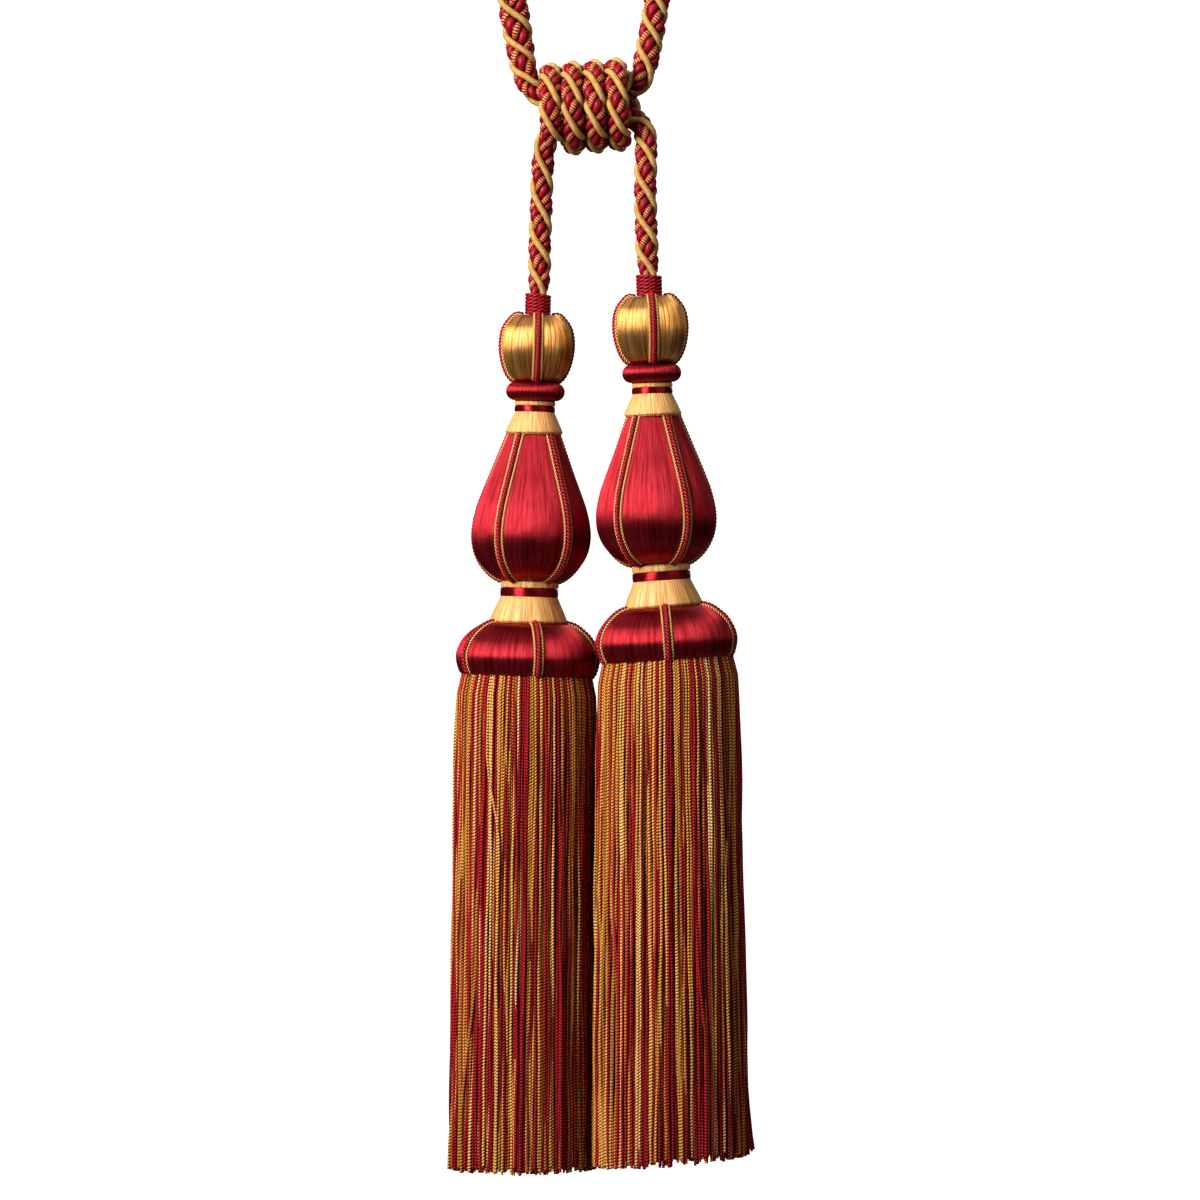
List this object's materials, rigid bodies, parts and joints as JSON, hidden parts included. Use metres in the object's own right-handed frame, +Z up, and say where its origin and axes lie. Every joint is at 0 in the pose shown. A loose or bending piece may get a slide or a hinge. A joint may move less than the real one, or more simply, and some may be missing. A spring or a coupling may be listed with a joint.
{
  "type": "curtain tieback with two tassels",
  "caption": "Looped rope tieback with a wound knot, from which key tassels with turned satin moulds, ruffs and long fringes hang side by side.",
  "frame": {"origin": "top of the hanging loop, where a tieback hook carries the rope", "axes": "+Z up along the hanging tassels, +X to the right as seen from the front, -Y towards the front"},
  "size_m": [0.1222, 0.0771, 0.7033],
  "materials": {
    "crimson_satin": "satin thread laid side by side, glossy across the fibres",
    "gold_satin": "satin thread laid side by side, glossy across the fibres",
    "pale_gold_thread": "cut thread in a dense ruff, soft sheen",
    "crimson_ribbon": "woven satin ribbon, glossy",
    "crimson_cord": "two-ply twisted cord, soft sheen",
    "rope_lay": "laid rope of crimson and gold plies with two gold gimps",
    "trim_braid": "crimson cord between two thin gold and crimson twists",
    "fringe_yarn": "two-ply twisted yarns, gold, tan and crimson in uneven stripes"
  },
  "bodies": {
    "root": {"rope": "rope_lay", "knot_wrap": "rope_lay", "left_neck_whipping": "crimson_cord", "left_ball": "gold_satin", "left_ball_trim_1": "trim_braid", "left_ball_trim_2": "trim_braid", "left_ball_trim_3": "trim_braid", "left_ball_trim_4": "trim_braid", "left_bead": "crimson_satin", "left_upper_collar": "pale_gold_thread", "left_upper_band": "crimson_ribbon", "left_pear": "crimson_satin", "left_pear_trim_1": "trim_braid", "left_pear_trim_2": "trim_braid", "left_pear_trim_3": "trim_braid", "left_pear_trim_4": "trim_braid", "left_pear_trim_5": "trim_braid", "left_lower_collar": "pale_gold_thread", "left_lower_band": "crimson_ribbon", "left_cap": "crimson_satin", "left_cap_trim_1": "trim_braid", "left_cap_trim_2": "trim_braid", "left_cap_trim_3": "trim_braid", "left_cap_trim_4": "trim_braid", "left_cap_trim_5": "trim_braid", "left_fringe": "fringe_yarn", "right_neck_whipping": "crimson_cord", "right_ball": "gold_satin", "right_ball_trim_1": "trim_braid", "right_ball_trim_2": "trim_braid", "right_ball_trim_3": "trim_braid", "right_ball_trim_4": "trim_braid", "right_bead": "crimson_satin", "right_upper_collar": "pale_gold_thread", "right_upper_band": "crimson_ribbon", "right_pear": "crimson_satin", "right_pear_trim_1": "trim_braid", "right_pear_trim_2": "trim_braid", "right_pear_trim_3": "trim_braid", "right_pear_trim_4": "trim_braid", "right_pear_trim_5": "trim_braid", "right_lower_collar": "pale_gold_thread", "right_lower_band": "crimson_ribbon", "right_cap": "crimson_satin", "right_cap_trim_1": "trim_braid", "right_cap_trim_2": "trim_braid", "right_cap_trim_3": "trim_braid", "right_cap_trim_4": "trim_braid", "right_cap_trim_5": "trim_braid", "right_fringe": "fringe_yarn"}
  },
  "joints": []
}
